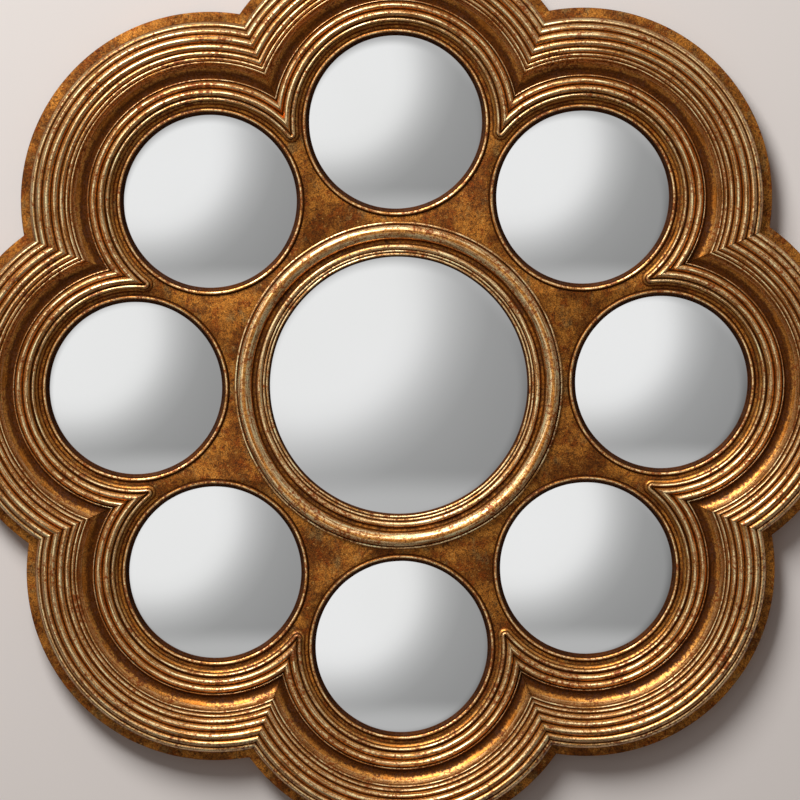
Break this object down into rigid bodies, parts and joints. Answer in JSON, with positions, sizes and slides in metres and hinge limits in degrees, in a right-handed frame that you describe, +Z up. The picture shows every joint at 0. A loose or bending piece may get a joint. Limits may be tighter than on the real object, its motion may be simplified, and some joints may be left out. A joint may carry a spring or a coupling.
{
  "type": "convex butlers mirror",
  "caption": "Wall mirror with a large convex glass ringed by small convex glasses in a lobed, reeded gilt frame with hanger rings.",
  "frame": {"origin": "on the wall plane, behind the middle of the large mirror", "axes": "+Z up, +X right for a person facing the mirror, +Y into the wall; the glass faces -Y"},
  "size_m": [0.842, 0.049, 0.842],
  "materials": {
    "gilded_moulding": "worn gold leaf over reddish bole, dark in the grooves",
    "gilded_slip": "worn gold leaf, thin",
    "patinated_field": "mottled bronze-brown patina",
    "mirror_glass": "polished silvered convex glass",
    "greyboard": "plain",
    "hardboard": "dark painted hardboard",
    "zinc_steel": "zinc plated",
    "brassed_steel": "brass plated",
    "bumper_rubber": "matte"
  },
  "bodies": {
    "mirror": {"back_board": "hardboard", "back_board_screws": "zinc_steel", "carcase_board": "patinated_field", "centre_glass": "mirror_glass", "centre_moulding": "gilded_moulding", "centre_spacer_ring": "greyboard", "hanger_screws": "zinc_steel", "hanger_strap_left": "brassed_steel", "hanger_strap_right": "brassed_steel", "lobe_moulding_1": "gilded_moulding", "lobe_moulding_2": "gilded_moulding", "lobe_moulding_3": "gilded_moulding", "lobe_moulding_4": "gilded_moulding", "lobe_moulding_5": "gilded_moulding", "lobe_moulding_6": "gilded_moulding", "lobe_moulding_7": "gilded_moulding", "lobe_moulding_8": "gilded_moulding", "moulding_screws": "zinc_steel", "sight_ring_1": "gilded_slip", "sight_ring_2": "gilded_slip", "sight_ring_3": "gilded_slip", "sight_ring_4": "gilded_slip", "sight_ring_5": "gilded_slip", "sight_ring_6": "gilded_slip", "sight_ring_7": "gilded_slip", "sight_ring_8": "gilded_slip", "small_glass_1": "mirror_glass", "small_glass_2": "mirror_glass", "small_glass_3": "mirror_glass", "small_glass_4": "mirror_glass", "small_glass_5": "mirror_glass", "small_glass_6": "mirror_glass", "small_glass_7": "mirror_glass", "small_glass_8": "mirror_glass", "small_spacer_ring_1": "greyboard", "small_spacer_ring_2": "greyboard", "small_spacer_ring_3": "greyboard", "small_spacer_ring_4": "greyboard", "small_spacer_ring_5": "greyboard", "small_spacer_ring_6": "greyboard", "small_spacer_ring_7": "greyboard", "small_spacer_ring_8": "greyboard", "wall_bumpers": "bumper_rubber"},
    "left_ring": {"hanger_ring_left": "brassed_steel"},
    "right_ring": {"hanger_ring_right": "brassed_steel"}
  },
  "joints": [
    {"name": "left_ring_swing", "type": "hinge", "parent": "mirror", "child": "left_ring", "pos_m": [-0.28525, -0.00394, 0.17325], "axis": [0, 0, 1], "range_deg": [0, 180]},
    {"name": "right_ring_swing", "type": "hinge", "parent": "mirror", "child": "right_ring", "pos_m": [0.28525, -0.00394, 0.17325], "axis": [0, 0, -1], "range_deg": [0, 180]}
  ]
}
